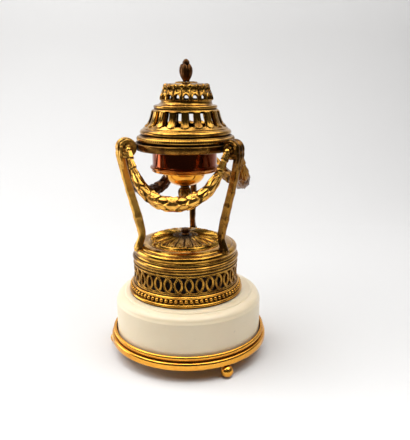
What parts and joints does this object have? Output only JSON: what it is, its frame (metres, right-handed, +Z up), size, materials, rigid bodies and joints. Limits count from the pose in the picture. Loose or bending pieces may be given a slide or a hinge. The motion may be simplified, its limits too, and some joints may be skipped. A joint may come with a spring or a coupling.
{
  "type": "perfume burner",
  "caption": "Gilt bronze perfume burner: scrolled legs with laurel garlands carry a bowl under a pierced lid, over a pierced gallery on a round marble plinth with ball feet.",
  "frame": {"origin": "on the floor under the middle of the footprint (bounding box centre)", "axes": "+Z up; the front is towards -Y, with the front garland facing it; +X to the viewer's right"},
  "size_m": [0.107, 0.105, 0.1902],
  "materials": {
    "gilt_bronze": "worn mercury gilding on bronze, bright on the high places and brown in the hollows",
    "copper_red_gilt": "polished, reddish",
    "dark_bronze": "dark brown patina",
    "white_marble": "honed, creamy white"
  },
  "bodies": {
    "root": {"ball_foot_right": "gilt_bronze", "ball_foot_left": "gilt_bronze", "ball_foot_back": "gilt_bronze", "base_ring": "gilt_bronze", "marble_plinth": "white_marble", "beaded_collar": "gilt_bronze", "pierced_gallery": "gilt_bronze", "gallery_cornice": "gilt_bronze", "domed_cover": "gilt_bronze", "cover_boss": "dark_bronze", "scroll_leg_left": "gilt_bronze", "scroll_leg_right": "gilt_bronze", "scroll_leg_back": "gilt_bronze", "garland_front": "gilt_bronze", "garland_right": "gilt_bronze", "garland_left": "gilt_bronze", "tray_ring": "gilt_bronze", "burner_bowl": "copper_red_gilt", "bowl_pendant": "gilt_bronze", "pierced_lid": "gilt_bronze", "lid_finial": "dark_bronze"}
  },
  "joints": []
}
